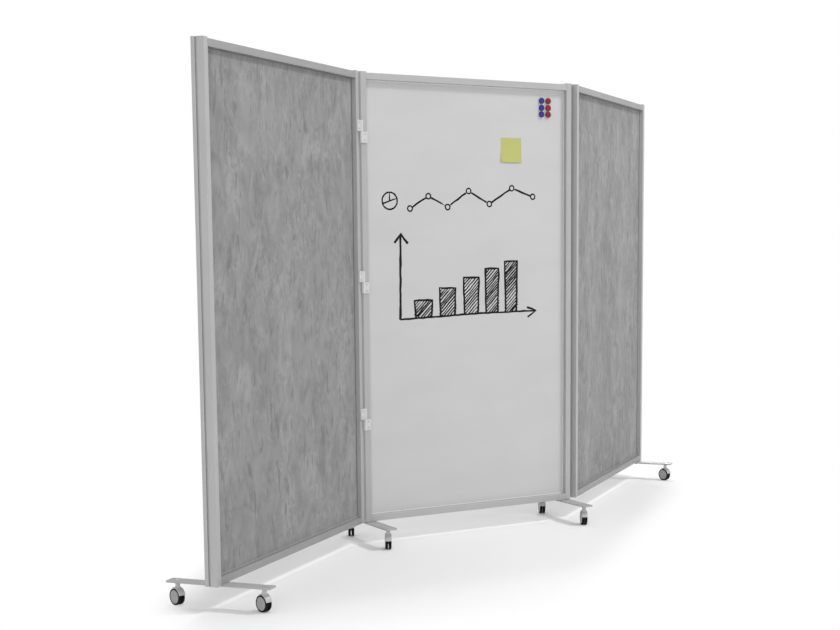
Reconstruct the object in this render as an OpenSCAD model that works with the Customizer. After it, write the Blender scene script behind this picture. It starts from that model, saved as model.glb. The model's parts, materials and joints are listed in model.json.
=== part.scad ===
// Rolling partition: three framed panels joined by lift-off hinges,
// on flat foot bars with twin-wheel casters.
// Millimetres. +Z is up and the floor is z = 0. X runs along the middle panel, whose front faces -Y.
// The right-hand panel is the left-hand one turned half round, so the three stand in a shallow Z.

/* [Panels] */
// Width of each side panel over its stiles
side_w = 1200; // [1000:10:1400]
// Width of the middle panel over its stiles
middle_w = 1000; // [800:10:1080]
// Height of a panel's frame without its caps
panel_h = 1780; // [1300:10:2000]
// Depth of the frame, front to back
frame_d = 48; // [44:1:60]
// Width of a stile or rail, seen from the front
face_w = 26; // [24:1:40]
// Angle by which each side panel stands out of line
fold = 39; // [0:1:90]

/* [Frame section] */
// Wall of the hollow section
wall = 2; // [1.5:0.1:2.5]
// Depth of the channel that holds a board
channel_d = 8; // [6:0.5:10]
// Width of the groove down a stile's outer edge
groove_w = 8.5; // [6:0.5:10]
// Depth of that groove
groove_d = 5; // [3:0.5:6]
// Distance of the groove behind the middle of the stile
groove_off = 5; // [0:0.5:6]
// Radius of the section's outer corners
corner_r = 1.5; // [0.5:0.1:1.9]
// Height of a cap's visible plate
cap_t = 4; // [2:0.5:8]
// Length of a cap's tongues inside the stile
tongue_h = 14; // [8:1:30]

/* [Boards] */
// Thickness of a board, and so of the channel
board_t = 10; // [8:0.5:12]
// Thickness of a steel writing sheet
sheet_t = 1; // [0.6:0.1:1.5]
// Gap between a board's edge and the floor of its channel
edge_gap = 0.5; // [0.2:0.1:2]

/* [Hinges] */
// Heights of the three hinges above the frame's underside, as shares of its height
hinge_shares = [0.235, 0.542, 0.872];
// Distance of the hinge line in front of the frames' faces
hinge_c = 8; // [7.6:0.1:10]
// Distance of the hinge line beyond each frame's end
hinge_e = 2.5; // [1.5:0.1:4]
// Height of one leaf
leaf_h = 43; // [32:1:60]
// Thickness of a leaf
leaf_t = 5; // [3:0.5:6]
// Gap between the upper and the lower knuckle
knuckle_gap = 1; // [0.5:0.1:2]
// Radius of a knuckle
knuckle_r = 7; // [6:0.1:7.4]
// Radius of a hinge pin
pin_r = 4; // [3:0.1:4.5]
// Height of the closed top of an upper knuckle
knuckle_top = 4; // [2:0.5:8]

/* [Foot bars] */
// Length of a foot bar
bar_len = 390; // [380:2:480]
// Width of a foot bar
bar_w = 50; // [44:1:60]
// Thickness of a foot bar
bar_t = 6; // [4:0.5:10]
// Radius of a bar's corners
bar_corner_r = 5; // [2:1:12]
// Distance of a side panel's bar from the panel's outer end
side_bar_inset = 62; // [60:1:100]
// Thickness of the pad between a bar and the frame
pad_t = 3; // [2:0.5:8]
// Distance of a foot screw from the bar's centre line, towards the panel's middle
foot_screw_off = 13; // [8:1:15]
// Radius of a foot screw
foot_screw_r = 3; // [2.5:0.1:4]

/* [Casters] */
// Distance of a stem from the panel's middle plane
stem_y = 163; // [140:1:172]
// Radius of a stem
stem_r = 5; // [4:0.1:6]
// Wheel diameter
wheel_d = 58; // [50:1:65]
// Width of one wheel
wheel_w = 10; // [8:0.5:14]
// Radius of the hub inside its tyre
hub_r = 23; // [18:0.5:23.5]
// Radius of the wheel axle
axle_r = 4; // [3:0.1:5]
// Thickness of the web between the wheels
web_t = 3; // [3:0.5:6]
// Distance of the axle behind the stem
trail = 5; // [0:0.5:12]
// Gap between a tyre and the fender over it
fender_gap = 1.5; // [1:0.1:3]
// Thickness of the fender
fender_t = 2.5; // [2:0.1:4]
// Height of the neck above the fender
neck_h = 15; // [14:0.5:24]
// Height of the collar under the bar
collar_h = 3.6; // [2:0.1:6]
// Direction of the wheel axles, from the panel's own direction
rest_swivel = 155; // [0:1:359]

/* [Hidden] */
$fn = 64;
run_gap = 0.05;                       // radial clearance of a turning pin in its bore
face_gap = 0.4;                       // axial clearance between parts that turn on each other
web_gap = 0.5;                        // clearance between a wheel's inner face and the web
hood_lip = 0.8;                       // how far the hood stands out beside the wheels
tongue_fit = 0.2;                     // clearance of a cap's tongue in its chamber
eps = 1;                              // length by which a cut runs past a face

wheel_r = wheel_d / 2;
fender_in = wheel_r + fender_gap;
fender_out = fender_in + fender_t;
hood_w = web_t + 2 * (web_gap + wheel_w + hood_lip);
hood_top = wheel_r + fender_out;
neck_top = hood_top + neck_h;
collar_z = neck_top + face_gap;
bar_z = collar_z + collar_h;
pad_z = bar_z + bar_t;
frame_z = pad_z + pad_t;              // underside of the frames above the floor
frame_top = frame_z + panel_h;
middle_bar_inset = bar_w / 2;
pad_margin = 2;                       // the pad stays this far inside the frame's and the bar's edges
pad_len = frame_d - 2 * pad_margin;

bore_floor = hood_top - 1;            // bottom of the stem's bore in the hood
stem_end = bore_floor + 0.5;
collar_low = 3.5;                     // how far the collar stands out from the stem at its lower edge
collar_high = 6;                      // and where it meets the bar
neck_root_r = min(13, hood_w / 2 - 0.5);
neck_waist_r = 7.6;
neck_top_r = 8.6;
neck_from = wheel_r + sqrt(pow(fender_out, 2) - pow(trail + neck_root_r, 2)) - fender_t / 2;
neck_steps = 12;
fender_from = 14;                     // the fender runs from just over axle height in front
fender_sweep = 98;                    // round over the top to just behind it
fender_round = 2;
web_boss_r = 9;                       // the web is a sector under the fender, with this boss round the axle
hub_cap_t = 3;                        // material of the hub over the axle's end
axle_len = web_t + 2 * (web_gap + wheel_w - hub_cap_t);
tyre_round = 2;
hub_rim = 2.5;
hub_dish = 1;

chamber_y = board_t / 2 + wall;       // inner side of a side chamber
chamber_w = frame_d / 2 - wall - chamber_y;
chamber_mid = chamber_y + chamber_w / 2;
seat = face_w - channel_d;            // floor of the board channel from the outer edge
shield_y = groove_w / 2 + wall;       // half width of the material round the groove
axis_y = frame_d / 2 + hinge_c;       // hinge line, from a panel's middle plane
screw_bite = 8;                       // length of a screw beyond the wall that it threads into
foot_head_r = 5.5;
foot_head_h = 3.5;
leaf_screw_r = 2.5;
leaf_head_r = 4.5;
leaf_head_h = 2.2;
leaf_screw_dz = leaf_h / 2 - 9;       // from the leaf's middle to each of its two screws
leaf_screw_x = face_w / 2;
wedge_x = 8;                          // where the leaf begins to rise to its knuckle
pin_clear = 2;                        // room over a pin's end
cap_bevel = 0.6;

feet = ["left", "middle_left", "middle_right", "right"];
ends = ["front", "back"];
end_signs = [-1, 1];
parts_of_caster = ["hood", "hubs", "tyres", "axle"];
parts_of_side = ["stiles", "rails", "board", "caps", "foot_bar", "screws", "stems", "hinge_upper_leaves"];

// ---- frames of reference ----

// A side panel's own frame: its middle at the origin, its hinged end at +X, its hinges on the -Y face.
module place_side(side) {
    rotate(side == "right" ? 180 : 0)
        translate([-middle_w / 2 - hinge_e, -axis_y, 0])
            rotate(fold)
                translate([-side_w / 2 - hinge_e, axis_y, 0])
                    children();
}

// The hinged end of a side panel: +X beyond the end, +Y out of the face, origin at that corner.
module at_side_end() {
    translate([side_w / 2, -frame_d / 2, 0])
        mirror([0, 1, 0])
            children();
}

// The same at the middle panel's end that meets the given side panel.
module at_middle_end(side) {
    rotate(side == "right" ? 180 : 0)
        translate([-middle_w / 2, -frame_d / 2, 0])
            rotate(180)
                children();
}

// The centre line of a foot bar, with -Y towards the front of the whole partition.
module at_foot(foot) {
    if (foot == "left")
        place_side("left")
            translate([-side_w / 2 + side_bar_inset, 0, 0])
                children();
    if (foot == "right")
        place_side("right")
            translate([-side_w / 2 + side_bar_inset, 0, 0])
                rotate(180)
                    children();
    if (foot == "middle_left")
        translate([-middle_w / 2 + middle_bar_inset, 0, 0])
            children();
    if (foot == "middle_right")
        translate([middle_w / 2 - middle_bar_inset, 0, 0])
            children();
}

// A caster's frame: origin on the floor under its stem, axle along X, rolling towards +Y.
module at_caster(foot, sign) {
    at_foot(foot)
        translate([0, sign * stem_y, 0])
            rotate(rest_swivel)
                children();
}

// The wheels' frame: origin at the axle's middle, X forwards, Y up, Z along the axle.
module at_axle() {
    translate([0, -trail, wheel_r])
        rotate([90, 0, 90])
            children();
}

// ---- shapes used more than once ----

module rounded_square(size, r) {
    translate([r, 0])
        square([size.x - 2 * r, size.y]);
    translate([0, r])
        square([size.x, size.y - 2 * r]);
    for (x = [r, size.x - r])
        for (y = [r, size.y - r])
            translate([x, y])
                circle(r, $fn = 24);
}

// The three chambers inside the section, before the groove's walls are left in.
module chambers() {
    for (y = [-chamber_y - chamber_w, chamber_y])
        translate([wall, y])
            square([face_w - 2 * wall, chamber_w]);
    translate([wall, -board_t / 2])
        square([seat - 2 * wall, board_t]);
}

// The section of stiles and rails: x runs from the outer edge inwards, y from front to back.
module frame_section(grooved) {
    difference() {
        translate([0, -frame_d / 2])
            rounded_square([face_w, frame_d], corner_r);
        translate([seat, -board_t / 2])
            square([channel_d + eps, board_t]);
        if (grooved)
            translate([-eps, groove_off - groove_w / 2])
                square([groove_d + eps, groove_w]);
        difference() {
            chambers();
            if (grooved)
                translate([0, groove_off - shield_y])
                    square([groove_d + wall, 2 * shield_y]);
        }
    }
}

// Stands its children's stile at each end of a panel of width w.
module at_stile(w, sign) {
    rotate(sign > 0 ? 180 : 0)
        translate([-w / 2, 0, 0])
            children();
}

// Holes for the leaf screws, in the frame of a hinged end.
module leaf_screw_holes(above) {
    for (share = hinge_shares)
        for (dz = [-leaf_screw_dz, leaf_screw_dz])
            translate([-leaf_screw_x, leaf_t, leaf_mid(share, above) + dz])
                rotate([90, 0, 0])
                    cylinder(h = leaf_t + wall + screw_bite, r = leaf_screw_r);
}

function leaf_mid(share, above) =
    frame_z + share * panel_h + (above ? 1 : -1) * (knuckle_gap / 2 + leaf_h / 2);

// Screws for the feet, under the bar at the given place in its panel's frame.
module foot_screw_shanks(x) {
    for (y = [-chamber_mid, chamber_mid])
        translate([x, y, bar_z])
            cylinder(h = bar_t + pad_t + wall + screw_bite, r = foot_screw_r);
}

function side_screw_x() = -side_w / 2 + side_bar_inset + foot_screw_off;
function middle_screw_x() = middle_w / 2 - middle_bar_inset - foot_screw_off;

// ---- panels ----

module stile_pair(w) {
    for (sign = end_signs)
        at_stile(w, sign)
            translate([0, 0, frame_z])
                linear_extrude(panel_h)
                    frame_section(true);
}

module rail_pair(w) {
    rail_len = w - 2 * face_w;
    translate([rail_len / 2, 0, frame_z])
        rotate([0, -90, 0])
            linear_extrude(rail_len)
                frame_section(false);
    translate([-rail_len / 2, 0, frame_top])
        rotate([0, 90, 0])
            linear_extrude(rail_len)
                frame_section(false);
}

module board(w, t, y) {
    inset = seat + edge_gap;
    translate([-w / 2 + inset, y, frame_z + inset])
        cube([w - 2 * inset, t, panel_h - 2 * inset]);
}

// A cap on a stile's top end, with two tongues down inside the stile's side chambers.
module cap() {
    tongue_from = groove_d + wall + tongue_fit;
    difference() {
        translate([0, -frame_d / 2, 0])
            linear_extrude(cap_t)
                rounded_square([face_w, frame_d], corner_r);
        translate([0, 0, cap_t - cap_bevel])
            difference() {
                translate([-eps, -frame_d / 2 - eps, 0])
                    cube([face_w + 2 * eps, frame_d + 2 * eps, eps]);
                translate([cap_bevel, cap_bevel - frame_d / 2, -eps])
                    cube([face_w - 2 * cap_bevel, frame_d - 2 * cap_bevel, 3 * eps]);
            }
    }
    for (sign = end_signs)
        translate([tongue_from, sign * chamber_mid - chamber_w / 2 + tongue_fit, -tongue_h])
            cube([face_w - wall - tongue_fit - tongue_from, chamber_w - 2 * tongue_fit, tongue_h]);
}

module top_caps(w) {
    for (sign = end_signs)
        at_stile(w, sign)
            translate([0, 0, frame_top])
                cap();
}

module foot_bar(screw_off) {
    difference() {
        union() {
            translate([-bar_w / 2, -bar_len / 2, bar_z])
                linear_extrude(bar_t)
                    rounded_square([bar_w, bar_len], bar_corner_r);
            translate([-bar_w / 2 + pad_margin, -pad_len / 2, pad_z])
                linear_extrude(pad_t)
                    rounded_square([bar_w - 2 * pad_margin, pad_len], pad_margin);
        }
        for (sign = end_signs)
            translate([0, sign * stem_y, bar_z - eps])
                cylinder(h = bar_t + 2 * eps, r = stem_r);
        for (y = [-chamber_mid, chamber_mid])
            translate([screw_off, y, bar_z - eps])
                cylinder(h = bar_t + pad_t + 2 * eps, r = foot_screw_r);
    }
}

module foot_screws(x) {
    foot_screw_shanks(x);
    for (y = [-chamber_mid, chamber_mid])
        translate([x, y, bar_z - foot_head_h])
            cylinder(h = foot_head_h, r = foot_head_r);
}

// ---- hinges ----

// Where the flank from point p touches the knuckle.
function flank_touch(p, c, r) =
    let (d = norm(p - c), a = atan2(p.y - c.y, p.x - c.x) - acos(r / d))
    c + r * [cos(a), sin(a)];

module leaf_outline() {
    knuckle_c = [hinge_e, hinge_c];
    rise = [-wedge_x, leaf_t];
    flank = flank_touch(rise, knuckle_c, knuckle_r);
    translate(knuckle_c)
        circle(knuckle_r);
    polygon([[-face_w, 0], [0, 0], knuckle_c, flank, rise, [-face_w, leaf_t]]);
}

module leaf_screws(above) {
    leaf_screw_holes(above);
    for (share = hinge_shares)
        for (dz = [-leaf_screw_dz, leaf_screw_dz])
            translate([-leaf_screw_x, leaf_t, leaf_mid(share, above) + dz])
                rotate([90, 0, 0])
                    cylinder(h = leaf_head_h, r1 = leaf_head_r, r2 = leaf_screw_r);
}

module leaves(above) {
    for (share = hinge_shares)
        difference() {
            translate([0, 0, leaf_mid(share, above) - leaf_h / 2])
                linear_extrude(leaf_h)
                    leaf_outline();
            translate([hinge_e, hinge_c, leaf_mid(share, above) - leaf_h / 2])
                if (above)
                    translate([0, 0, -eps])
                        cylinder(h = leaf_h - knuckle_top + eps, r = pin_r + run_gap);
                else
                    translate([0, 0, -eps])
                        cylinder(h = leaf_h + 2 * eps, r = pin_r);
            leaf_screws(above);
        }
}

module pins() {
    for (share = hinge_shares)
        translate([hinge_e, hinge_c, leaf_mid(share, false) - leaf_h / 2])
            cylinder(h = 2 * leaf_h + knuckle_gap - knuckle_top - pin_clear, r = pin_r);
}

// ---- casters ----

module stem_pair(foot) {
    at_foot(foot)
        for (sign = end_signs)
            translate([0, sign * stem_y, 0]) {
                translate([0, 0, stem_end])
                    cylinder(h = pad_z - stem_end, r = stem_r);
                translate([0, 0, collar_z])
                    cylinder(h = collar_h, r1 = stem_r + collar_low, r2 = stem_r + collar_high);
            }
}

// Radius of the hood's neck, from its root at t = 0 through a waist to its top at t = 1.
function neck_r(t) =
    neck_waist_r + (neck_root_r - neck_waist_r) * pow(1 - t, 3) + (neck_top_r - neck_waist_r) * pow(t, 6);

module neck() {
    side = [for (i = [0:neck_steps])
        [neck_r(i / neck_steps), neck_from + (neck_top - neck_from) * i / neck_steps]];
    rotate_extrude()
        polygon(concat([[0, neck_from]], side, [[0, neck_top]]));
}

module hood() {
    difference() {
        union() {
            neck();
            at_axle() {
                rotate(fender_from)
                    rotate_extrude(angle = fender_sweep)
                        translate([0, -hood_w / 2])
                            rounded_square([fender_out, hood_w], fender_round);
                rotate(fender_from)
                    rotate_extrude(angle = fender_sweep)
                        translate([0, -web_t / 2])
                            square([fender_in + fender_t / 2, web_t]);
                cylinder(h = web_t, r = web_boss_r, center = true);
            }
        }
        at_axle() {
            for (sign = end_signs)
                translate([0, 0, sign * (web_t + hood_w) / 2 - hood_w / 2])
                    cylinder(h = hood_w, r = fender_in);
            cylinder(h = web_t + 2 * eps, r = axle_r + run_gap, center = true);
        }
        translate([0, 0, bore_floor])
            cylinder(h = neck_top - bore_floor + eps, r = stem_r + run_gap);
    }
}

// One wheel's inner face is at z = 0 here and its outer face at wheel_w.
module at_wheels() {
    at_axle()
        for (sign = end_signs)
            mirror([0, 0, sign > 0 ? 0 : 1])
                translate([0, 0, web_t / 2 + web_gap])
                    children();
}

module tyre() {
    difference() {
        rotate_extrude()
            intersection() {
                translate([-wheel_r, 0])
                    rounded_square([2 * wheel_r, wheel_w], tyre_round);
                square([wheel_r, wheel_w]);
            }
        translate([0, 0, -eps])
            cylinder(h = wheel_w + 2 * eps, r = hub_r);
    }
}

module hub() {
    difference() {
        cylinder(h = wheel_w, r = hub_r);
        translate([0, 0, wheel_w - hub_dish])
            cylinder(h = hub_dish + eps, r1 = hub_r - hub_rim - hub_dish, r2 = hub_r - hub_rim + eps);
        translate([0, 0, -eps])
            cylinder(h = wheel_w - hub_cap_t + eps, r = axle_r);
    }
}

module axle() {
    at_axle()
        cylinder(h = axle_len, r = axle_r, center = true);
}

// ---- sub-parts, one module each ----

module middle_stiles() {
    color("#b4b6b6")
        difference() {
            stile_pair(middle_w);
            for (side = ["left", "right"])
                at_middle_end(side)
                    leaf_screw_holes(false);
        }
}

module middle_rails() {
    color("#b4b6b6")
        difference() {
            rail_pair(middle_w);
            for (sign = end_signs)
                foot_screw_shanks(sign * middle_screw_x());
        }
}

module middle_front_sheet() {
    color("#f2f2f0")
        board(middle_w, sheet_t, -board_t / 2);
}

module middle_back_sheet() {
    color("#f2f2f0")
        board(middle_w, sheet_t, board_t / 2 - sheet_t);
}

module middle_core() {
    color("#c8a878")
        board(middle_w, board_t - 2 * sheet_t, -board_t / 2 + sheet_t);
}

module middle_caps() {
    color("#a9abab")
        top_caps(middle_w);
}

module middle_foot_bars() {
    color("#aeb0b0") {
        at_foot("middle_left")
            foot_bar(foot_screw_off);
        at_foot("middle_right")
            foot_bar(-foot_screw_off);
    }
}

module middle_screws() {
    color("#8f9294") {
        for (sign = end_signs)
            foot_screws(sign * middle_screw_x());
        for (side = ["left", "right"])
            at_middle_end(side)
                leaf_screws(false);
    }
}

module middle_stems() {
    color("#9b9ea0") {
        stem_pair("middle_left");
        stem_pair("middle_right");
    }
}

module hinge_lower_leaves(side) {
    color("#c6c8c8")
        at_middle_end(side)
            leaves(false);
}

module hinge_pins() {
    color("#8f9294")
        for (side = ["left", "right"])
            at_middle_end(side)
                pins();
}

module side_stiles(side) {
    color("#b4b6b6")
        place_side(side)
            difference() {
                stile_pair(side_w);
                at_side_end()
                    leaf_screw_holes(true);
            }
}

module side_rails(side) {
    color("#b4b6b6")
        place_side(side)
            difference() {
                rail_pair(side_w);
                foot_screw_shanks(side_screw_x());
            }
}

module side_board(side) {
    color("#8e9090")
        place_side(side)
            board(side_w, board_t, -board_t / 2);
}

module side_caps(side) {
    color("#a9abab")
        place_side(side) {
            top_caps(side_w);
            at_stile(side_w, -1)
                translate([0, 0, frame_z])
                    mirror([0, 0, 1])
                        cap();
        }
}

module side_foot_bar(side) {
    color("#aeb0b0")
        place_side(side)
            translate([-side_w / 2 + side_bar_inset, 0, 0])
                foot_bar(foot_screw_off);
}

module side_screws(side) {
    color("#8f9294")
        place_side(side) {
            foot_screws(side_screw_x());
            at_side_end()
                leaf_screws(true);
        }
}

module side_stems(side) {
    color("#9b9ea0")
        stem_pair(side);
}

module hinge_upper_leaves(side) {
    color("#c6c8c8")
        place_side(side)
            at_side_end()
                leaves(true);
}

module caster_hood(foot, sign) {
    color("#a6a9ab")
        at_caster(foot, sign)
            hood();
}

module caster_hubs(foot, sign) {
    color("#9da0a2")
        at_caster(foot, sign)
            at_wheels()
                hub();
}

module caster_tyres(foot, sign) {
    color("#1c1c1c")
        at_caster(foot, sign)
            at_wheels()
                tyre();
}

module caster_axle(foot, sign) {
    color("#8f9294")
        at_caster(foot, sign)
            axle();
}

middle_stiles();
middle_rails();
middle_front_sheet();
middle_back_sheet();
middle_core();
middle_caps();
middle_foot_bars();
middle_screws();
middle_stems();
hinge_pins();
for (side = ["left", "right"]) {
    hinge_lower_leaves(side);
    side_stiles(side);
    side_rails(side);
    side_board(side);
    side_caps(side);
    side_foot_bar(side);
    side_screws(side);
    side_stems(side);
    hinge_upper_leaves(side);
}
for (foot = feet)
    for (k = [0, 1]) {
        prefix = str(foot, "_", ends[k], "_");
        caster_hood(foot, end_signs[k]);
        caster_hubs(foot, end_signs[k]);
        caster_tyres(foot, end_signs[k]);
        caster_axle(foot, end_signs[k]);
    }
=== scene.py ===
"""A rolling partition of three framed panels, dressed and lit as in its photograph.

Lengths are in metres, and tones of colour in 0 to 255.
"""
import json
import math
import random

import bpy
from mathutils import Matrix, Vector


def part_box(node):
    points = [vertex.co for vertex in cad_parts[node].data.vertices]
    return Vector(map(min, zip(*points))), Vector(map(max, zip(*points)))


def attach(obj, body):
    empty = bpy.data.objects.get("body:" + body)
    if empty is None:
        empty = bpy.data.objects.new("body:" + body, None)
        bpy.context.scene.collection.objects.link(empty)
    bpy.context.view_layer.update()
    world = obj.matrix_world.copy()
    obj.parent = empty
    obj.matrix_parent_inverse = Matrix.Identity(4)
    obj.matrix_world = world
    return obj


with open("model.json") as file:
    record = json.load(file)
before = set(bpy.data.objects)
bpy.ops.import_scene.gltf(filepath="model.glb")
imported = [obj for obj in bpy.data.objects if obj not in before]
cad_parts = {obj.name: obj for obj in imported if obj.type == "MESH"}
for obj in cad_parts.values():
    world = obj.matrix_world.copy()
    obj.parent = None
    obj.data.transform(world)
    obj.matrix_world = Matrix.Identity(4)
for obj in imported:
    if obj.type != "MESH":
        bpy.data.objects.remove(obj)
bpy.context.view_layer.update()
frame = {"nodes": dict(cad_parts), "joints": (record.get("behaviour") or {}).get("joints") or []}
nodes = frame["nodes"]
bpy.ops.object.select_all(action="DESELECT")


# ---- Camera ----
# It stands a little in front of the left-hand panel, at chest height, and looks slightly down.
# The lens and the shift give the photograph's frame of 840 by 630.
PHOTO_WIDTH = 840
PHOTO_HEIGHT = 630
FOCAL_PX = 1578.96
AXIS_PX = (532.1, 428.93)
SENSOR_WIDTH = 36
CAMERA_PLACE = (-3.3771, -5.6382, 1.2743)
CAMERA_PITCH = 7.314
CAMERA_HEADING = -33.2205

bpy.ops.object.camera_add(
    location=CAMERA_PLACE,
    rotation=(math.radians(90 - CAMERA_PITCH), 0, math.radians(CAMERA_HEADING)),
)
camera = bpy.context.object
camera.data.sensor_width = SENSOR_WIDTH
camera.data.lens = FOCAL_PX / PHOTO_WIDTH * SENSOR_WIDTH
camera.data.shift_x = (PHOTO_WIDTH / 2 - AXIS_PX[0]) / PHOTO_WIDTH
camera.data.shift_y = (AXIS_PX[1] - PHOTO_HEIGHT / 2) / PHOTO_WIDTH
bpy.context.scene.camera = camera


# ---- Stiles and rails ----
# Hollow aluminium sections, sawn square and butted together, with a satin natural anodised skin.
# The press leaves faint lines along each length, and hands leave it a little uneven in gloss.
def tone(red, green, blue):
    """A colour given in 0 to 255, as the shader wants it."""
    values = []
    for level in (red, green, blue):
        share = level / 255
        values.append(share / 12.92 if share <= 0.04045 else ((share + 0.055) / 1.055) ** 2.4)
    return (*values, 1)


def grey(level):
    return tone(level, level, level)


def new_group(name, inputs, outputs):
    """An empty shader group with named sockets: (name, socket type, default)."""
    group = bpy.data.node_groups.new(name, "ShaderNodeTree")
    for label, kind, default in inputs:
        socket = group.interface.new_socket(label, in_out="INPUT", socket_type=kind)
        if default is not None:
            socket.default_value = default
    for label, kind in outputs:
        group.interface.new_socket(label, in_out="OUTPUT", socket_type=kind)
    return group, group.nodes.new("NodeGroupInput"), group.nodes.new("NodeGroupOutput")


def add_noise(tree, vector, scale, detail=3, roughness=0.55, distortion=0.0):
    noise = tree.nodes.new("ShaderNodeTexNoise")
    noise.inputs["Scale"].default_value = scale
    noise.inputs["Detail"].default_value = detail
    noise.inputs["Roughness"].default_value = roughness
    noise.inputs["Distortion"].default_value = distortion
    tree.links.new(vector, noise.inputs["Vector"])
    return noise.outputs["Fac"]


def add_stretch(tree, vector, scale, turn=0):
    """Turns a vector about Z, in radians, then scales it, so that a pattern can run one way."""
    mapping = tree.nodes.new("ShaderNodeMapping")
    mapping.vector_type = "POINT"
    mapping.inputs["Rotation"].default_value = (0, 0, turn)
    mapping.inputs["Scale"].default_value = scale
    tree.links.new(vector, mapping.inputs["Vector"])
    return mapping.outputs["Vector"]


def add_math(tree, operation, first, second):
    node = tree.nodes.new("ShaderNodeMath")
    node.operation = operation
    for socket, value in zip(node.inputs, (first, second)):
        if isinstance(value, (int, float)):
            socket.default_value = value
        else:
            tree.links.new(value, socket)
    return node.outputs["Value"]


def add_sum(tree, *weighted):
    """Adds up masks, each given with its weight."""
    parts = [add_math(tree, "MULTIPLY", mask, weight) for mask, weight in weighted]
    total = parts[0]
    for part in parts[1:]:
        total = add_math(tree, "ADD", total, part)
    return total


def add_range(tree, value, low, high, out_low, out_high):
    """Takes a value over from the range low to high to the range out_low to out_high."""
    node = tree.nodes.new("ShaderNodeMapRange")
    for label, number in zip(("From Min", "From Max", "To Min", "To Max"), (low, high, out_low, out_high)):
        socket = node.inputs[label]
        if isinstance(number, (int, float)):
            socket.default_value = number
        else:
            tree.links.new(number, socket)
    tree.links.new(value, node.inputs["Value"])
    return node.outputs["Result"]


def add_mix(tree, share, first, second):
    """Mixes two colours, each a tuple or a socket."""
    node = tree.nodes.new("ShaderNodeMix")
    node.data_type = "RGBA"
    tree.links.new(share, node.inputs["Factor"])
    for socket, colour in ((node.inputs["A"], first), (node.inputs["B"], second)):
        if isinstance(colour, tuple):
            socket.default_value = colour
        else:
            tree.links.new(colour, socket)
    return node.outputs["Result"]


def add_tint(tree, mask, low, high, first, second):
    """Runs from the first colour to the second as a mask goes from low to high."""
    return add_mix(tree, add_range(tree, mask, low, high, 0, 1), first, second)


def add_bump(tree, height, distance, strength):
    node = tree.nodes.new("ShaderNodeBump")
    node.inputs["Distance"].default_value = distance
    node.inputs["Strength"].default_value = strength
    tree.links.new(height, node.inputs["Height"])
    return node.outputs["Normal"]


def new_material(name, metallic=0.0, specular=0.5):
    """A material, its node tree, its Principled shader and its object coordinates."""
    material = bpy.data.materials.new(name)
    material.use_nodes = True
    shader = material.node_tree.nodes["Principled BSDF"]
    shader.inputs["Metallic"].default_value = metallic
    shader.inputs["Specular IOR Level"].default_value = specular
    coordinates = material.node_tree.nodes.new("ShaderNodeTexCoord")
    return material, material.node_tree, shader, coordinates.outputs["Object"]


def add_group(tree, group, vector, **values):
    """Places a shader group and sets its inputs by name."""
    node = tree.nodes.new("ShaderNodeGroup")
    node.node_tree = group
    tree.links.new(vector, node.inputs["Vector"])
    for label, value in values.items():
        node.inputs[label].default_value = value
    return node


def finish_node(material, *names):
    """Gives CAD nodes one material in place of their own."""
    for name in names:
        mesh = nodes[name].data
        mesh.materials.clear()
        mesh.materials.append(material)


# What the shader groups for metal, moulded and painted skins take and put out.
SKIN_COLOURS = [
    ("Vector", "NodeSocketVector", None),
    ("Dark", "NodeSocketColor", grey(150)),
    ("Light", "NodeSocketColor", grey(160)),
]
SKIN_GLOSS = [("Smooth", "NodeSocketFloat", 0.35), ("Rough", "NodeSocketFloat", 0.55)]
COLOUR_AND_HEIGHT = [("Color", "NodeSocketColor"), ("Height", "NodeSocketFloat")]
ROUGHNESS = [("Roughness", "NodeSocketFloat")]

# Faint marks of the die along Z, and the uneven gloss that handling leaves.
die_lines, lines_in, lines_out = new_group(
    "die_lines", SKIN_COLOURS + SKIN_GLOSS, COLOUR_AND_HEIGHT + ROUGHNESS)
lines_place = lines_in.outputs["Vector"]
lines_fine = add_noise(die_lines, add_stretch(die_lines, lines_place, (1, 1, 0.002)), scale=900, detail=2)
lines_wide = add_noise(die_lines, add_stretch(die_lines, lines_place, (1, 1, 0.01)), scale=160, detail=2)
lines_cloud = add_noise(die_lines, lines_place, scale=7, detail=4)
lines_mark = add_sum(die_lines, (lines_fine, 0.5), (lines_wide, 0.5))
lines_tint = add_sum(die_lines, (lines_mark, 0.6), (lines_cloud, 0.4))
die_lines.links.new(
    add_tint(die_lines, lines_tint, 0.35, 0.65, lines_in.outputs["Dark"], lines_in.outputs["Light"]),
    lines_out.inputs["Color"],
)
die_lines.links.new(
    add_range(die_lines, lines_tint, 0.35, 0.65, lines_in.outputs["Rough"], lines_in.outputs["Smooth"]),
    lines_out.inputs["Roughness"],
)
die_lines.links.new(lines_mark, lines_out.inputs["Height"])

FRAME_METALLIC = 0.25


def anodised(name, dark, light, along_z=False, turn=0):
    """Satin aluminium with its lines along Z, or along the horizontal direction that turn brings to X."""
    material, tree, shader, place = new_material(name, metallic=FRAME_METALLIC)
    if not along_z:
        swap = tree.nodes.new("ShaderNodeMapping")
        swap.inputs["Rotation"].default_value = (0, math.radians(90), 0)
        tree.links.new(add_stretch(tree, place, (1, 1, 1), turn), swap.inputs["Vector"])
        place = swap.outputs["Vector"]
    marks = add_group(tree, die_lines, place, Dark=dark, Light=light, Smooth=0.38, Rough=0.52)
    relief = add_bump(tree, marks.outputs["Height"], distance=0.0001, strength=0.08)
    tree.links.new(marks.outputs["Color"], shader.inputs["Base Color"])
    tree.links.new(marks.outputs["Roughness"], shader.inputs["Roughness"])
    tree.links.new(relief, shader.inputs["Normal"])
    return material


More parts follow.
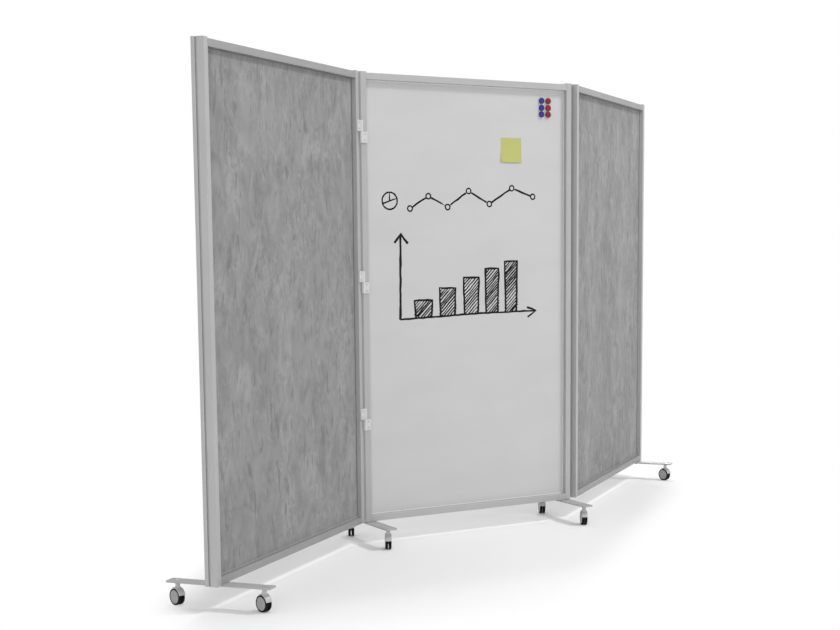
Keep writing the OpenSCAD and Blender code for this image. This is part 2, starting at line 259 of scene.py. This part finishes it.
folds = {joint["name"]: joint for joint in frame["joints"] if joint["name"].endswith("_fold")}
fold_angle = math.radians(-folds["left_fold"]["range_deg"][0])
finish_node(anodised("anodised_upright", grey(175), grey(183), along_z=True),
            "middle_stiles", "left_stiles", "right_stiles")
finish_node(anodised("anodised_middle_rail", grey(177), grey(185)), "middle_rails")
# The side panels' rails take a darker copy of the same anodised skin, as painted shade.
finish_node(anodised("anodised_side_rail_painted_shade", grey(152), grey(160), turn=-fold_angle),
            "left_rails", "right_rails")


# ---- Felt boards ----
# Boards pressed from grey polyester fibre, which reach into the frames' channels.
# The fibre lies in soft upright patches of paler and darker grey, with a few dark flecks and a short nap.
FELT_DARK = grey(122)
FELT_LIGHT = grey(154)
FELT_FLECK = grey(104)
FELT_FIBRE = grey(166)
FLECK_LEAN = 0.4

felt, felt_tree, felt_shader, felt_place = new_material("marbled_felt", specular=0.2)


def felt_noise(height, turn=0, **pattern):
    """A pattern drawn out upright as the fibre lies: the smaller the height, the longer it is drawn."""
    return add_noise(felt_tree, add_stretch(felt_tree, felt_place, (1, 1, height), turn), **pattern)


patch = felt_noise(0.62, scale=15, detail=4, distortion=0.9)
blotch = felt_noise(0.56, scale=44, detail=3, roughness=0.6, distortion=1.3)
cloud = felt_noise(0.6, scale=4.5, detail=3)
fleck = felt_noise(0.26, FLECK_LEAN, scale=44, detail=2, roughness=0.5, distortion=0.9)
fibre = felt_noise(0.4, scale=700, detail=3, roughness=0.7)
grain = add_noise(felt_tree, felt_place, scale=2600, detail=2, roughness=0.6)
# The small blotches show strongly in some places and hardly at all in others.
busy = add_range(felt_tree, felt_noise(0.55, scale=7.5, detail=2), 0.42, 0.58, 0.15, 1)
wisps = add_math(felt_tree, "MULTIPLY", add_math(felt_tree, "SUBTRACT", blotch, 0.5), busy)
marbling = add_sum(felt_tree, (patch, 0.48), (wisps, 0.50), (cloud, 0.30))
felt_body = add_tint(felt_tree, marbling, 0.265, 0.515, FELT_DARK, FELT_LIGHT)
felt_flecked = add_mix(felt_tree, add_range(felt_tree, fleck, 0.59, 0.69, 0, 0.62), felt_body, FELT_FLECK)
felt_fibred = add_mix(felt_tree, add_range(felt_tree, fibre, 0.35, 0.75, 0, 0.2), felt_flecked, FELT_FIBRE)
nap = add_sum(felt_tree, (fibre, 0.6), (grain, 0.4))
felt_tree.links.new(felt_fibred, felt_shader.inputs["Base Color"])
felt_tree.links.new(add_bump(felt_tree, nap, distance=0.0006, strength=0.5), felt_shader.inputs["Normal"])
felt_shader.inputs["Roughness"].default_value = 0.95
felt_shader.inputs["Sheen Weight"].default_value = 0.15
finish_node(felt, "left_board", "right_board")


# ---- Writing sheets and their core ----
# Thin enamelled steel on both faces of a fibre core, for markers and magnets.
# The enamel has a low even gloss, with the soft haze of a board that has been wiped many times.
def mottled(name, scale, dark, light, roughness, specular):
    """A material whose colour wanders between two tones."""
    material, tree, shader, place = new_material(name, specular=specular)
    tree.links.new(add_mix(tree, add_noise(tree, place, scale), dark, light), shader.inputs["Base Color"])
    shader.inputs["Roughness"].default_value = roughness
    return material


enamel, enamel_tree, enamel_shader, enamel_place = new_material("white_enamel", specular=0.4)
wiped = add_noise(enamel_tree, add_stretch(enamel_tree, enamel_place, (0.5, 1, 1.6)), scale=4.2, detail=4)
enamel_peel = add_noise(enamel_tree, enamel_place, scale=220, detail=2)
enamel_tree.links.new(add_tint(enamel_tree, wiped, 0.35, 0.65, grey(199), grey(203)),
                      enamel_shader.inputs["Base Color"])
enamel_tree.links.new(add_range(enamel_tree, wiped, 0.3, 0.7, 0.38, 0.5), enamel_shader.inputs["Roughness"])
enamel_tree.links.new(add_bump(enamel_tree, enamel_peel, distance=0.0001, strength=0.08),
                      enamel_shader.inputs["Normal"])
finish_node(enamel, "middle_front_sheet", "middle_back_sheet")
finish_node(mottled("fibreboard_core", 800, tone(150, 122, 88), tone(190, 162, 124),
                    roughness=0.9, specular=0.2), "middle_core")


# ---- Glazing seals ----
# Strips of soft rubber, pressed in round the edges of each board and mitred at the corners.
# They are dark on the felt and a paler grey on the writing sheets. The lowest strip is paler: painted light
# from above.
SEAL_INSET = 0.026
SEAL_LOW, SEAL_HIGH = 0.116, 1.844
SEAL_ROUNDING = 0.45
# Where the lowest strip's painted light from above begins, and where it is full.
PAINTED_LIGHT_BELOW, PAINTED_LIGHT_FULLY = SEAL_LOW + 0.010, SEAL_LOW + 0.004
PANEL_WIDTHS = {"left": 1.2, "middle": 1.0, "right": 1.2}
BOARD_FACE = 0.005
# The middle of the right-hand panel, measured from its fold line. The left-hand one lies opposite.
SIDE_CENTRE = Vector((0.6025, -0.032, 0))
SMOOTH_ANGLE = math.radians(35)


def select_only(piece):
    bpy.ops.object.select_all(action="DESELECT")
    piece.select_set(True)
    bpy.context.view_layer.objects.active = piece


def place_on_panel(piece, side):
    """Takes a piece from the plain frame of its panel, centred on X and Y, to the panel's place."""
    if side != "middle":
        centre = SIDE_CENTRE if side == "right" else -SIDE_CENTRE
        fold = Vector(folds[f"{side}_fold"]["pos_m"])
        piece.matrix_world = (Matrix.Translation(fold) @ Matrix.Rotation(fold_angle, 4, "Z")
                              @ Matrix.Translation(centre) @ piece.matrix_world)
    select_only(piece)
    bpy.ops.object.transform_apply(location=True, rotation=True, scale=True)


def apply_modifiers(piece):
    bpy.context.view_layer.objects.active = piece
    for modifier in list(piece.modifiers):
        bpy.ops.object.modifier_apply(modifier=modifier.name)


def rubber_seal(side, face, width, rise, material):
    """One picture frame of seal, on the front (-1) or back (1) face of a panel's board."""
    bpy.ops.mesh.primitive_plane_add(size=1, rotation=(math.radians(90), 0, 0))
    seal = bpy.context.object
    seal.scale = (PANEL_WIDTHS[side] - 2 * SEAL_INSET, SEAL_HIGH - SEAL_LOW, 1)
    bpy.ops.object.transform_apply(location=False, rotation=True, scale=True)
    bpy.ops.object.mode_set(mode="EDIT")
    bpy.ops.mesh.select_all(action="SELECT")
    bpy.ops.mesh.inset(thickness=width)
    bpy.ops.mesh.delete(type="FACE")
    bpy.ops.object.mode_set(mode="OBJECT")
    strip = seal.modifiers.new("strip", "SOLIDIFY")
    strip.thickness = rise
    strip.offset = 1
    roll = seal.modifiers.new("roll", "BEVEL")
    roll.width = rise * SEAL_ROUNDING
    roll.segments = 3
    apply_modifiers(seal)
    if face > 0:
        seal.rotation_euler = (0, 0, math.pi)
    seal.location = (0, face * BOARD_FACE, (SEAL_LOW + SEAL_HIGH) / 2)
    bpy.context.view_layer.update()
    place_on_panel(seal, side)
    bpy.ops.object.shade_smooth_by_angle(angle=SMOOTH_ANGLE)
    seal.name = f"{side}_{'back' if face > 0 else 'front'}_seal"
    seal.data.name = seal.name
    seal.data.materials.append(material)
    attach(seal, f"{side}_panel")


def seal_rubber(name, dark, light, painted_light_tone):
    """Rubber that goes over to a paler tone in the seal's lowest strip, as painted light from above."""
    material, tree, shader, place = new_material(name, specular=0.3)
    axes = tree.nodes.new("ShaderNodeSeparateXYZ")
    tree.links.new(place, axes.inputs["Vector"])
    body = add_tint(tree, add_noise(tree, place, scale=60, detail=4), 0.35, 0.65, dark, light)
    colour = add_tint(tree, axes.outputs["Z"], PAINTED_LIGHT_BELOW, PAINTED_LIGHT_FULLY, body, painted_light_tone)
    pores = add_noise(tree, place, scale=1800, detail=2)
    tree.links.new(colour, shader.inputs["Base Color"])
    tree.links.new(add_bump(tree, pores, distance=0.0001, strength=0.2), shader.inputs["Normal"])
    shader.inputs["Roughness"].default_value = 0.7
    return material


# The dark seal is partly painted shade: its tone draws the shade line along the felt's edge. Each seal's last
# tone is painted light for its lowest strip.
rubber_and_painted_shade = seal_rubber("dark_seal_and_painted_shade", grey(126), grey(136), grey(172))
pale_rubber = seal_rubber("pale_seal", grey(222), grey(230), grey(234))
for face in (-1, 1):
    for side in ("left", "right"):
        rubber_seal(side, face, width=0.0038, rise=0.0016, material=rubber_and_painted_shade)
    rubber_seal("middle", face, width=0.0042, rise=0.0018, material=pale_rubber)


# ---- End caps ----
# Moulded plastic caps pushed into the ends of the stiles, in the grey of the frame.
# The mould leaves them a fine even grain, which the hoods and hubs of the casters share.
mould_grain, mould_in, mould_out = new_group(
    "mould_grain", SKIN_COLOURS + SKIN_GLOSS, COLOUR_AND_HEIGHT + ROUGHNESS)
mould_fine = add_noise(mould_grain, mould_in.outputs["Vector"], scale=2200, detail=2)
mould_flow = add_noise(mould_grain, mould_in.outputs["Vector"], scale=60, detail=4)
mould_grain.links.new(
    add_tint(mould_grain, mould_flow, 0.3, 0.7, mould_in.outputs["Dark"], mould_in.outputs["Light"]),
    mould_out.inputs["Color"],
)
mould_grain.links.new(
    add_range(mould_grain, mould_flow, 0.3, 0.7, mould_in.outputs["Smooth"], mould_in.outputs["Rough"]),
    mould_out.inputs["Roughness"],
)
mould_grain.links.new(mould_fine, mould_out.inputs["Height"])


def moulded(name, dark, light, smooth, rough):
    """Moulded plastic, whose roughness wanders between smooth and rough."""
    material, tree, shader, place = new_material(name, specular=0.45)
    skin = add_group(tree, mould_grain, place, Dark=dark, Light=light, Smooth=smooth, Rough=rough)
    relief = add_bump(tree, skin.outputs["Height"], distance=0.0001, strength=0.2)
    tree.links.new(skin.outputs["Color"], shader.inputs["Base Color"])
    tree.links.new(skin.outputs["Roughness"], shader.inputs["Roughness"])
    tree.links.new(relief, shader.inputs["Normal"])
    return material


finish_node(moulded("cap_plastic", grey(178), grey(186), smooth=0.45, rough=0.6),
            "middle_caps", "left_caps", "right_caps")


# ---- Hinges and their pins ----
# Lift-off hinges of cast zinc, painted a paler grey than the frame. The pin stands in the lower half.
# The paint takes a slight orange peel from the spray, as it does on the foot bars.
powder_coat, powder_in, powder_out = new_group("powder_coat", SKIN_COLOURS, COLOUR_AND_HEIGHT)
powder_peel = add_noise(powder_coat, powder_in.outputs["Vector"], scale=650, detail=2)
powder_cloud = add_noise(powder_coat, powder_in.outputs["Vector"], scale=26, detail=3)
powder_coat.links.new(
    add_tint(powder_coat, powder_cloud, 0.3, 0.7, powder_in.outputs["Dark"], powder_in.outputs["Light"]),
    powder_out.inputs["Color"],
)
powder_coat.links.new(powder_peel, powder_out.inputs["Height"])


def painted(name, dark, light, roughness):
    """Powder coated metal."""
    material, tree, shader, place = new_material(name, specular=0.4)
    coat = add_group(tree, powder_coat, place, Dark=dark, Light=light)
    relief = add_bump(tree, coat.outputs["Height"], distance=0.00015, strength=0.25)
    tree.links.new(coat.outputs["Color"], shader.inputs["Base Color"])
    tree.links.new(relief, shader.inputs["Normal"])
    shader.inputs["Roughness"].default_value = roughness
    return material


finish_node(painted("hinge_paint", grey(206), grey(214), roughness=0.42),
            "left_hinge_lower_leaves", "right_hinge_lower_leaves",
            "left_hinge_upper_leaves", "right_hinge_upper_leaves")


# ---- Screws, stems, axles and pins ----
# Turned steel with a bright zinc plating, faintly ringed by the lathe.
# Screws hold the hinges and the foot bars, and stems stand in the bars.
# Axles run through the wheels, and pins join the halves of the hinges.
zinc, zinc_tree, zinc_shader, zinc_place = new_material("zinc_plating", metallic=0.9)
zinc_cloud = add_noise(zinc_tree, zinc_place, scale=130)
zinc_rings = add_noise(zinc_tree, add_stretch(zinc_tree, zinc_place, (0.1, 0.1, 1)), scale=1500, detail=2)
zinc_tree.links.new(add_mix(zinc_tree, zinc_cloud, tone(176, 178, 180), tone(204, 206, 208)),
                    zinc_shader.inputs["Base Color"])
zinc_tree.links.new(add_range(zinc_tree, zinc_rings, 0.3, 0.7, 0.28, 0.42), zinc_shader.inputs["Roughness"])
finish_node(zinc, "middle_screws", "left_screws", "right_screws", "middle_stems", "left_stems", "right_stems",
            "hinge_pins", *[name for name in nodes if name.endswith("_axle")])


# ---- Foot bars ----
# Flat bars of steel, sawn to length and powder coated in the frame's grey.
# Each lies crosswise under a foot of the frame, and screws from below hold it.
finish_node(painted("bar_paint", grey(172), grey(180), roughness=0.5),
            "middle_foot_bars", "left_foot_bar", "right_foot_bar")


# ---- Casters ----
# Twin-wheel casters. Each hood is moulded in one piece with its fender, in a glossy grey plastic.
# The hubs are duller, and the tyres are black rubber with a little dust in its grain.
finish_node(moulded("hood_plastic", tone(186, 186, 187), tone(196, 196, 197), smooth=0.2, rough=0.3),
            *[name for name in nodes if name.endswith("_hood")])
finish_node(moulded("hub_plastic", tone(157, 157, 158), tone(167, 167, 168), smooth=0.36, rough=0.5),
            *[name for name in nodes if name.endswith("_hubs")])

tyre, tyre_tree, tyre_shader, tyre_place = new_material("tyre_rubber", specular=0.18)
tyre_dust = add_noise(tyre_tree, tyre_place, scale=90, detail=4)
tyre_grain = add_noise(tyre_tree, tyre_place, scale=1600, detail=2)
tyre_tree.links.new(add_tint(tyre_tree, tyre_dust, 0.45, 0.75, grey(4), tone(15, 15, 14)),
                    tyre_shader.inputs["Base Color"])
tyre_tree.links.new(add_bump(tyre_tree, tyre_grain, distance=0.0001, strength=0.3),
                    tyre_shader.inputs["Normal"])
tyre_shader.inputs["Roughness"].default_value = 0.62
finish_node(tyre, *[name for name in nodes if name.endswith("_tyres")])


# ---- Marker drawing ----
# A chart, a trend line and a pie, drawn by hand on the front sheet with a black board marker.
# Each stroke is a thin film of ink with round ends that thickens and thins with the hand.
SHEET_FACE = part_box("middle_front_sheet")[0].y
INK_THICKNESS = 0.0003
HAND_STEP = 0.02
HAND_WOBBLE = 0.0012
HAND_PRESSURE = (0.82, 1.12)
hand = random.Random(7)


def draw_stroke(points, width, wobble=HAND_WOBBLE):
    """One stroke through points (x, z) on the sheet, as a flattened tube."""
    path = []
    for start, end in zip(points, points[1:]):
        steps = max(2, int(math.dist(start, end) / HAND_STEP))
        for step in range(steps):
            share = step / steps
            path.append((start[0] + (end[0] - start[0]) * share, start[1] + (end[1] - start[1]) * share))
    path.append(points[-1])
    bpy.ops.curve.primitive_nurbs_path_add(location=(0, 0, 0))
    stroke = bpy.context.object
    stroke.data.dimensions = "3D"
    spline = stroke.data.splines[0]
    spline.points.add(max(0, len(path) - len(spline.points)))
    while len(path) < len(spline.points):
        path.append(path[-1])
    spline.type = "POLY"
    for point, (x, z) in zip(spline.points, path):
        point.co = (x + hand.uniform(-wobble, wobble), 0, z + hand.uniform(-wobble, wobble), 1)
        point.radius = hand.uniform(*HAND_PRESSURE)
    stroke.data.bevel_depth = width / 2
    stroke.data.bevel_resolution = 2
    stroke.data.use_fill_caps = True
    bpy.ops.object.convert(target="MESH")
    stroke.scale = (1, 2 * INK_THICKNESS / width, 1)
    stroke.location = (0, SHEET_FACE, 0)
    bpy.ops.object.transform_apply(location=True, rotation=False, scale=True)
    return stroke


# The chart's two axes, with their arrow heads.
LINE_WIDTH = 0.0110
AXIS_CORNER = (-0.324, 0.900)
AXIS_TOP = (-0.319, 1.243)
AXIS_MIDDLE = (0.05, 0.915)
AXIS_END = (0.331, 0.918)
strokes = [
    draw_stroke([AXIS_TOP, AXIS_CORNER], LINE_WIDTH),
    draw_stroke([AXIS_CORNER, AXIS_MIDDLE, AXIS_END], LINE_WIDTH * 0.75),
    draw_stroke([(-0.349, 1.208), AXIS_TOP, (-0.287, 1.205)], LINE_WIDTH),
    draw_stroke([(0.286, 0.934), AXIS_END, (0.290, 0.892)], LINE_WIDTH * 0.8),
]

# Each bar: where its top begins, the width there, and the height. The bars' feet climb with the axis.
BARS = (
    (-0.258, 0.083, 0.068),
    (-0.141, 0.077, 0.113),
    (-0.027, 0.075, 0.151),
    (0.078, 0.067, 0.183),
    (0.174, 0.063, 0.209),
)
BAR_FOOT = 0.907
BAR_CLIMB = 0.003
BAR_TAPER = 0.005
BAR_LINE = LINE_WIDTH * 0.85
HATCH_WIDTH = 0.0059
HATCH_PITCH = 0.0132
HATCH_SPREAD = (0.75, 1.25)
for index, (left, width, height) in enumerate(BARS):
    right = left + width
    foot = BAR_FOOT + index * BAR_CLIMB
    top = foot + height
    outline = [(left + BAR_TAPER, foot), (left, top), (right, top), (right - BAR_TAPER, foot)]
    strokes.append(draw_stroke(outline, BAR_LINE))
    reach = HATCH_PITCH
    while reach < width + height - HATCH_PITCH / 2:
        first = (right - min(reach, width), foot + max(0.0, reach - width))
        last = (right - max(0.0, reach - height), foot + min(reach, height))
        strokes.append(draw_stroke([first, last], HATCH_WIDTH * hand.uniform(*HATCH_SPREAD)))
        reach += HATCH_PITCH * hand.uniform(*HATCH_SPREAD)


def circle(centre, radius, sides):
    """The points of a circle, which ends where it began."""
    turns = [side * math.tau / sides for side in range(sides + 1)]
    return [(centre[0] + radius * math.cos(turn), centre[1] + radius * math.sin(turn)) for turn in turns]


# The trend line runs from dot to dot, and stops short of each.
TREND = (
    (-0.275, 1.345),
    (-0.19, 1.395),
    (-0.10, 1.352),
    (0.0, 1.418),
    (0.10, 1.366),
    (0.21, 1.432),
    (0.315, 1.398),
)
TREND_LINE = LINE_WIDTH * 0.75
DOT_RADIUS = 0.011
DOT_CLEARANCE = 1.3
DOT_LINE = LINE_WIDTH * 0.6
DOT_WOBBLE = 0.0003
for start, end in zip(TREND, TREND[1:]):
    gap = (Vector(end) - Vector(start)).normalized() * DOT_RADIUS * DOT_CLEARANCE
    strokes.append(draw_stroke([tuple(Vector(start) + gap), tuple(Vector(end) - gap)], TREND_LINE))
for dot in TREND:
    strokes.append(draw_stroke(circle(dot, DOT_RADIUS, sides=14), DOT_LINE, DOT_WOBBLE))

# The pie mark, cut into three unequal slices.
PIE_CENTRE = Vector((-0.367, 1.375))
PIE_RADIUS = 0.034
PIE_LINE = LINE_WIDTH * 0.65
PIE_WOBBLE = 0.0005
SLICE_ANGLES = (92, 18, 200)
SLICE_LINE = LINE_WIDTH * 0.6
SLICE_WOBBLE = 0.0004
strokes.append(draw_stroke(circle(PIE_CENTRE, PIE_RADIUS, sides=24), PIE_LINE, PIE_WOBBLE))
for angle in SLICE_ANGLES:
    tip = PIE_CENTRE + PIE_RADIUS * Vector((math.cos(math.radians(angle)), math.sin(math.radians(angle))))
    strokes.append(draw_stroke([tuple(PIE_CENTRE), tuple(tip)], SLICE_LINE, SLICE_WOBBLE))

select_only(strokes[0])
for stroke in strokes:
    stroke.select_set(True)
bpy.ops.object.join()
drawing = bpy.context.object
drawing.name = "marker_drawing"
drawing.data.name = drawing.name
drawing.data.materials.clear()
drawing.data.materials.append(
    mottled("marker_ink", 180, tone(12, 12, 14), tone(32, 32, 36), roughness=0.55, specular=0.12))
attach(drawing, "middle_panel")


# ---- Sticky note ----
# A square of pale yellow paper with a fine tooth.
# It is stuck along its top edge, so that its foot curls off the board.
NOTE_SIZE = 0.100
NOTE_PLACE = (0.207, 1.589)
NOTE_GAP = 0.0004
PAPER_THICKNESS = 0.0002
NOTE_CURL = 0.4
CREASES = 10
CREASE_START, CREASE_PITCH = 0.22, 0.07
CURL_START, CURL_GROWTH = 0.5, 0.25


def select_where(parts, wanted):
    """Selects only the wanted vertices or faces of the active piece, and leaves it in edit mode."""
    bpy.ops.object.mode_set(mode="EDIT")
    bpy.ops.mesh.select_all(action="DESELECT")
    bpy.ops.object.mode_set(mode="OBJECT")
    for part in parts:
        part.select = wanted(part)
    bpy.ops.object.mode_set(mode="EDIT")


bpy.ops.mesh.primitive_grid_add(x_subdivisions=8, y_subdivisions=28, size=NOTE_SIZE,
                                rotation=(math.radians(90), 0, 0), location=(0, 0, 0))
note = bpy.context.object
note.name = "sticky_note"
note.data.name = note.name
bpy.ops.object.transform_apply(location=False, rotation=True, scale=True)
# The paper turns out a little at each crease, and more and more towards the foot.
for line in range(CREASES):
    crease = NOTE_SIZE * (CREASE_START - CREASE_PITCH * line)
    select_where(note.data.vertices, lambda vertex: vertex.co.z < crease)
    bpy.ops.transform.rotate(value=math.radians(NOTE_CURL) * (CURL_START + CURL_GROWTH * line),
                             orient_axis="X", center_override=(0, 0, crease))
    bpy.ops.object.mode_set(mode="OBJECT")
note.location = (NOTE_PLACE[0], SHEET_FACE - NOTE_GAP, NOTE_PLACE[1])
bpy.ops.object.transform_apply(location=True, rotation=False, scale=False)
paper = note.modifiers.new("paper", "SOLIDIFY")
paper.thickness = PAPER_THICKNESS
paper.offset = 0
apply_modifiers(note)
bpy.ops.object.shade_smooth_by_angle(angle=SMOOTH_ANGLE)
note.data.materials.append(
    mottled("note_paper", 420, tone(186, 187, 113), tone(193, 194, 122), roughness=0.85, specular=0.2))
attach(note, "middle_panel")


# ---- Magnets ----
# Six round board magnets in caps of moulded plastic, which hold on the sheet in two columns.
# The caps are rounded at the rim and slightly dished, three in blue and three in red.
MAGNET_RADIUS = 0.0125
MAGNET_HEIGHT = 0.008
MAGNET_ROUNDING = 0.0022
MAGNET_RIM = 0.002
MAGNET_DISH = 0.0008
DISH_BORDER = 0.0012
MAGNET_COLUMNS = (0.358, 0.391)
MAGNET_ROWS = (1.797, 1.768, 1.741)
blue_plastic = moulded("magnet_blue", tone(34, 26, 122), tone(48, 38, 142), smooth=0.2, rough=0.3)
red_plastic = moulded("magnet_red", tone(120, 8, 18), tone(140, 16, 28), smooth=0.2, rough=0.3)

bpy.ops.mesh.primitive_cylinder_add(vertices=40, radius=MAGNET_RADIUS, depth=MAGNET_HEIGHT,
                                    rotation=(math.radians(90), 0, 0))
cap = bpy.context.object
bpy.ops.object.transform_apply(location=False, rotation=True, scale=False)
select_where(cap.data.polygons, lambda face: face.normal.y < -0.9)
bpy.ops.mesh.bevel(offset=MAGNET_ROUNDING, segments=3, affect="EDGES")
# The rounding stays selected with the face, and both sink in together.
bpy.ops.mesh.inset(thickness=MAGNET_RIM, depth=-MAGNET_DISH)
bpy.ops.mesh.inset(thickness=DISH_BORDER, depth=0.0)
bpy.ops.object.mode_set(mode="OBJECT")
bpy.ops.object.shade_smooth_by_angle(angle=SMOOTH_ANGLE)
for column, (x, plastic) in enumerate(zip(MAGNET_COLUMNS, (blue_plastic, red_plastic)), start=1):
    for row, z in enumerate(MAGNET_ROWS, start=1):
        magnet = cap.copy()
        magnet.data = cap.data.copy()
        magnet.name = f"magnet_{column}_{row}"
        magnet.data.name = magnet.name
        bpy.context.collection.objects.link(magnet)
        magnet.location = (x, SHEET_FACE - MAGNET_HEIGHT / 2, z)
        select_only(magnet)
        bpy.ops.object.transform_apply(location=True, rotation=False, scale=False)
        magnet.data.materials.append(plastic)
        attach(magnet, "middle_panel")
bpy.data.meshes.remove(cap.data)


# ---- Studio ----
# A pale floor that turns to the pure white of the surround a little beyond the casters.
# The light comes evenly from all round, with a soft lamp high on the right in front,
# a weaker one behind, and two faint ones low on opposite sides.
FLOOR_SIZE = 60
FLOOR_LIFT = 0.07
WORLD_LEVEL = 0.66
LAMP_AIM = Vector((0.0, 0.0, 0.9))
LAMP_SIZE = 1.0
# Each lamp: the direction towards it, how far off it is, and its power.
LAMPS = (
    (Vector((0.432, -0.403, 0.806)), 7.0, 188),
    (Vector((0.245, 0.363, 0.899)), 8.0, 108),
    (Vector((-0.664, -0.724, 0.187)), 7.0, 42),
    (Vector((0.664, 0.724, 0.187)), 7.0, 42),
)
# Where the floor's shading ends: a direction outwards, where the fade starts along it, and where it ends.
SHADE_EDGES = (
    ((0.680, -0.733, 0), 0.58, 0.78),
    ((0, -1, 0), 1.05, 1.40),
    ((-1, 0, 0), 1.48, 1.68),
    ((-0.8, 0.6, 0), 0.74, 0.98),
    ((-0.680, 0.733, 0), 1.0, 1.5),
    ((1, 0, 0), 1.6, 1.9),
    ((0, 1, 0), 1.2, 1.6),
)


def seen_directly(tree):
    """One where a ray comes from the camera, a gloss or a glass, and nought for light on the object."""
    rays = tree.nodes.new("ShaderNodeLightPath")
    mirrored = add_math(tree, "MAXIMUM", rays.outputs["Is Glossy Ray"], rays.outputs["Is Transmission Ray"])
    return add_math(tree, "MAXIMUM", rays.outputs["Is Camera Ray"], mirrored)


bpy.ops.mesh.primitive_plane_add(size=FLOOR_SIZE, location=(0, 0, 0))
floor = bpy.context.object
floor.name = "floor"
floor_paint, floor_tree, floor_shader, floor_place = new_material("floor_paint", specular=0.0)
floor_shader.inputs["Base Color"].default_value = grey(248)
floor_shader.inputs["Roughness"].default_value = 0.9
shaded = 1 - FLOOR_LIFT
for outwards, start, end in SHADE_EDGES:
    along = floor_tree.nodes.new("ShaderNodeVectorMath")
    along.operation = "DOT_PRODUCT"
    along.inputs[1].default_value = outwards
    floor_tree.links.new(floor_place, along.inputs[0])
    fade = add_range(floor_tree, along.outputs["Value"], start, end, 1, 0)
    fade.node.interpolation_type = "SMOOTHSTEP"
    shaded = add_math(floor_tree, "MULTIPLY", shaded, fade)
unshaded = add_math(floor_tree, "SUBTRACT", 1, shaded)
whiteness = floor_tree.nodes.new("ShaderNodeEmission")
blend = floor_tree.nodes.new("ShaderNodeMixShader")
floor_tree.links.new(add_math(floor_tree, "MULTIPLY", unshaded, seen_directly(floor_tree)),
                     blend.inputs["Fac"])
floor_tree.links.new(floor_shader.outputs["BSDF"], blend.inputs[1])
floor_tree.links.new(whiteness.outputs["Emission"], blend.inputs[2])
floor_tree.links.new(blend.outputs["Shader"], floor_tree.nodes["Material Output"].inputs["Surface"])
floor.data.materials.append(floor_paint)

for towards, distance, power in LAMPS:
    bpy.ops.object.light_add(type="AREA", location=LAMP_AIM + distance * towards)
    lamp = bpy.context.object
    lamp.rotation_euler = (-towards).to_track_quat("-Z", "Y").to_euler()
    lamp.data.size = LAMP_SIZE
    lamp.data.energy = power

world = bpy.data.worlds.new("surround")
bpy.context.scene.world = world
world.use_nodes = True
surround = world.node_tree
background = surround.nodes["Background"]
background.inputs["Color"].default_value = (1, 1, 1, 1)
surround.links.new(add_range(surround, seen_directly(surround), 0, 1, WORLD_LEVEL, 1.0),
                   background.inputs["Strength"])
bpy.context.scene.view_settings.view_transform = "Standard"
